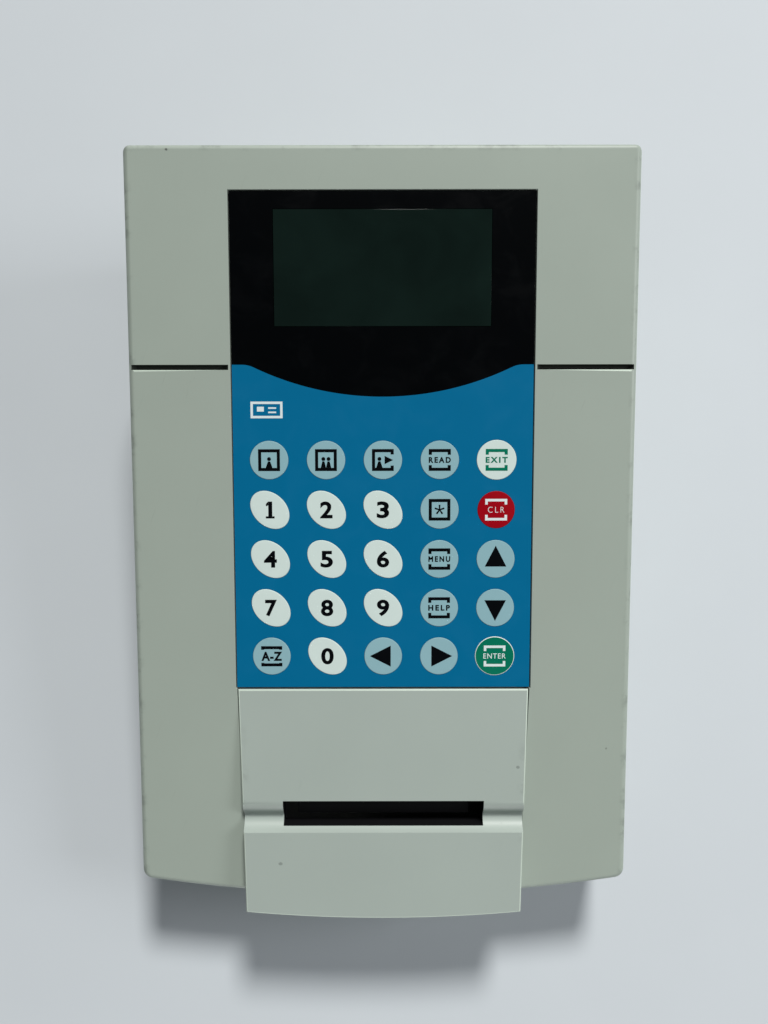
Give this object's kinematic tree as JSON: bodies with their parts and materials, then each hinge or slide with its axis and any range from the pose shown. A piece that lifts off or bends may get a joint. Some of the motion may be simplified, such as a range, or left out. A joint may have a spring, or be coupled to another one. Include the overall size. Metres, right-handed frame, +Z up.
{
  "type": "hotel key-card encoder",
  "caption": "Wedge-shaped front-desk card encoder with a display, a membrane keypad and a motorised card slot in a raised front tongue.",
  "frame": {"origin": "on the desk, under the middle of the unit's bounding box", "axes": "+Z up, +Y towards the rear wall with the sockets, +X to the right of someone facing the keypad; the face slopes down towards -Y"},
  "size_m": [0.19, 0.2862, 0.0975],
  "materials": {
    "housing_plastic": "fine-textured moulded ABS, light grey with a green tinge, lightly scuffed",
    "base_plastic": "fine-textured moulded ABS, darker grey",
    "overlay_film": "printed polyester film, satin blue below and black round the display",
    "key_grey_film": "printed polyester film, pale blue-grey key",
    "key_white_film": "printed polyester film, white key",
    "key_red_film": "printed polyester film, red key",
    "key_green_film": "printed polyester film, green key with a white ring",
    "display_window": "smoked clear window, glossy",
    "lcd_glass": "unlit liquid-crystal glass",
    "black_plastic": "black moulded plastic",
    "rubber": "black rubber",
    "steel": "turned steel",
    "zinc_steel": "zinc-plated sheet steel",
    "circuit_board": "green solder mask on glass-epoxy board",
    "circuit_film": "clear polyester film with printed silver tracks"
  },
  "bodies": {
    "housing": {"top_housing": "housing_plastic", "base": "base_plastic", "reader_cover": "housing_plastic", "graphic_overlay": "overlay_film", "display_window": "display_window", "lcd_bezel": "zinc_steel", "lcd_glass": "lcd_glass", "lcd_board": "circuit_board", "keypad_circuit": "circuit_film", "keypad_ribbon": "circuit_film", "main_board": "circuit_board", "power_socket": "black_plastic", "serial_socket": "black_plastic", "network_socket": "black_plastic", "reader_chassis": "zinc_steel", "card_guide": "black_plastic", "drive_motor": "zinc_steel", "drive_belt": "rubber", "pressure_axle": "steel", "head_pin": "steel", "case_screw_1": "steel", "case_screw_2": "steel", "case_screw_3": "steel", "case_screw_4": "steel", "foot_1": "rubber", "foot_2": "rubber", "foot_3": "rubber", "foot_4": "rubber"},
    "transport_shaft": {"drive_shaft": "steel", "drive_roller": "rubber"},
    "motor_shaft": {"motor_pulley": "black_plastic"},
    "pinch_roller": {"pressure_roller": "rubber"},
    "shutter": {"card_shutter": "black_plastic"},
    "head_lever": {"head_arm": "zinc_steel", "magnetic_head": "steel"},
    "key_single_guest_cap": {"key_single_guest": "key_grey_film"},
    "key_double_guest_cap": {"key_double_guest": "key_grey_film"},
    "key_check_out_cap": {"key_check_out": "key_grey_film"},
    "key_read_cap": {"key_read": "key_grey_film"},
    "key_exit_cap": {"key_exit": "key_white_film"},
    "key_1_cap": {"key_1": "key_white_film"},
    "key_2_cap": {"key_2": "key_white_film"},
    "key_3_cap": {"key_3": "key_white_film"},
    "key_star_cap": {"key_star": "key_grey_film"},
    "key_clear_cap": {"key_clear": "key_red_film"},
    "key_4_cap": {"key_4": "key_white_film"},
    "key_5_cap": {"key_5": "key_white_film"},
    "key_6_cap": {"key_6": "key_white_film"},
    "key_menu_cap": {"key_menu": "key_grey_film"},
    "key_up_cap": {"key_up": "key_grey_film"},
    "key_7_cap": {"key_7": "key_white_film"},
    "key_8_cap": {"key_8": "key_white_film"},
    "key_9_cap": {"key_9": "key_white_film"},
    "key_help_cap": {"key_help": "key_grey_film"},
    "key_down_cap": {"key_down": "key_grey_film"},
    "key_letters_cap": {"key_letters": "key_grey_film"},
    "key_0_cap": {"key_0": "key_white_film"},
    "key_left_cap": {"key_left": "key_grey_film"},
    "key_right_cap": {"key_right": "key_grey_film"},
    "key_enter_cap": {"key_enter": "key_green_film"}
  },
  "joints": [
    {"name": "key_single_guest_press", "type": "slide", "parent": "housing", "child": "key_single_guest_cap", "axis": [0, 0.2078, -0.9782], "range_m": [0, 0.0005], "stiffness_N_per_m": 2000},
    {"name": "key_double_guest_press", "type": "slide", "parent": "housing", "child": "key_double_guest_cap", "axis": [0, 0.2078, -0.9782], "range_m": [0, 0.0005], "stiffness_N_per_m": 2000},
    {"name": "key_check_out_press", "type": "slide", "parent": "housing", "child": "key_check_out_cap", "axis": [0, 0.2078, -0.9782], "range_m": [0, 0.0005], "stiffness_N_per_m": 2000},
    {"name": "key_read_press", "type": "slide", "parent": "housing", "child": "key_read_cap", "axis": [0, 0.2078, -0.9782], "range_m": [0, 0.0005], "stiffness_N_per_m": 2000},
    {"name": "key_exit_press", "type": "slide", "parent": "housing", "child": "key_exit_cap", "axis": [0, 0.2078, -0.9782], "range_m": [0, 0.0005], "stiffness_N_per_m": 2000},
    {"name": "key_1_press", "type": "slide", "parent": "housing", "child": "key_1_cap", "axis": [0, 0.2078, -0.9782], "range_m": [0, 0.0005], "stiffness_N_per_m": 2000},
    {"name": "key_2_press", "type": "slide", "parent": "housing", "child": "key_2_cap", "axis": [0, 0.2078, -0.9782], "range_m": [0, 0.0005], "stiffness_N_per_m": 2000},
    {"name": "key_3_press", "type": "slide", "parent": "housing", "child": "key_3_cap", "axis": [0, 0.2078, -0.9782], "range_m": [0, 0.0005], "stiffness_N_per_m": 2000},
    {"name": "key_star_press", "type": "slide", "parent": "housing", "child": "key_star_cap", "axis": [0, 0.2078, -0.9782], "range_m": [0, 0.0005], "stiffness_N_per_m": 2000},
    {"name": "key_clear_press", "type": "slide", "parent": "housing", "child": "key_clear_cap", "axis": [0, 0.2078, -0.9782], "range_m": [0, 0.0005], "stiffness_N_per_m": 2000},
    {"name": "key_4_press", "type": "slide", "parent": "housing", "child": "key_4_cap", "axis": [0, 0.2078, -0.9782], "range_m": [0, 0.0005], "stiffness_N_per_m": 2000},
    {"name": "key_5_press", "type": "slide", "parent": "housing", "child": "key_5_cap", "axis": [0, 0.2078, -0.9782], "range_m": [0, 0.0005], "stiffness_N_per_m": 2000},
    {"name": "key_6_press", "type": "slide", "parent": "housing", "child": "key_6_cap", "axis": [0, 0.2078, -0.9782], "range_m": [0, 0.0005], "stiffness_N_per_m": 2000},
    {"name": "key_menu_press", "type": "slide", "parent": "housing", "child": "key_menu_cap", "axis": [0, 0.2078, -0.9782], "range_m": [0, 0.0005], "stiffness_N_per_m": 2000},
    {"name": "key_up_press", "type": "slide", "parent": "housing", "child": "key_up_cap", "axis": [0, 0.2078, -0.9782], "range_m": [0, 0.0005], "stiffness_N_per_m": 2000},
    {"name": "key_7_press", "type": "slide", "parent": "housing", "child": "key_7_cap", "axis": [0, 0.2078, -0.9782], "range_m": [0, 0.0005], "stiffness_N_per_m": 2000},
    {"name": "key_8_press", "type": "slide", "parent": "housing", "child": "key_8_cap", "axis": [0, 0.2078, -0.9782], "range_m": [0, 0.0005], "stiffness_N_per_m": 2000},
    {"name": "key_9_press", "type": "slide", "parent": "housing", "child": "key_9_cap", "axis": [0, 0.2078, -0.9782], "range_m": [0, 0.0005], "stiffness_N_per_m": 2000},
    {"name": "key_help_press", "type": "slide", "parent": "housing", "child": "key_help_cap", "axis": [0, 0.2078, -0.9782], "range_m": [0, 0.0005], "stiffness_N_per_m": 2000},
    {"name": "key_down_press", "type": "slide", "parent": "housing", "child": "key_down_cap", "axis": [0, 0.2078, -0.9782], "range_m": [0, 0.0005], "stiffness_N_per_m": 2000},
    {"name": "key_letters_press", "type": "slide", "parent": "housing", "child": "key_letters_cap", "axis": [0, 0.2078, -0.9782], "range_m": [0, 0.0005], "stiffness_N_per_m": 2000},
    {"name": "key_0_press", "type": "slide", "parent": "housing", "child": "key_0_cap", "axis": [0, 0.2078, -0.9782], "range_m": [0, 0.0005], "stiffness_N_per_m": 2000},
    {"name": "key_left_press", "type": "slide", "parent": "housing", "child": "key_left_cap", "axis": [0, 0.2078, -0.9782], "range_m": [0, 0.0005], "stiffness_N_per_m": 2000},
    {"name": "key_right_press", "type": "slide", "parent": "housing", "child": "key_right_cap", "axis": [0, 0.2078, -0.9782], "range_m": [0, 0.0005], "stiffness_N_per_m": 2000},
    {"name": "key_enter_press", "type": "slide", "parent": "housing", "child": "key_enter_cap", "axis": [0, 0.2078, -0.9782], "range_m": [0, 0.0005], "stiffness_N_per_m": 2000},
    {"name": "transport_spin", "type": "hinge", "parent": "housing", "child": "transport_shaft", "pos_m": [0, -0.07497, 0.03406], "axis": [1, 0, 0], "continuous": true},
    {"name": "motor_spin", "type": "hinge", "parent": "housing", "child": "motor_shaft", "pos_m": [0, -0.05663, 0.02495], "axis": [1, 0, 0], "continuous": true},
    {"name": "pinch_roller_spin", "type": "hinge", "parent": "housing", "child": "pinch_roller", "pos_m": [0, -0.07211, 0.04551], "axis": [1, 0, 0], "continuous": true},
    {"name": "shutter_swing", "type": "hinge", "parent": "housing", "child": "shutter", "pos_m": [0, -0.08313, 0.04682], "axis": [1, 0, 0], "range_deg": [0, 75], "stiffness_Nm_per_rad": 0.002},
    {"name": "head_lift", "type": "hinge", "parent": "housing", "child": "head_lever", "pos_m": [0.018, -0.03789, 0.04222], "axis": [-1, 0, 0], "range_deg": [0, 4], "stiffness_Nm_per_rad": 0.2, "springref_deg": -2.86}
  ],
  "couplings": [
    {"joint": "motor_spin", "follows": "transport_spin", "ratio": 1.5556},
    {"joint": "pinch_roller_spin", "follows": "transport_spin", "ratio": -1.75}
  ]
}
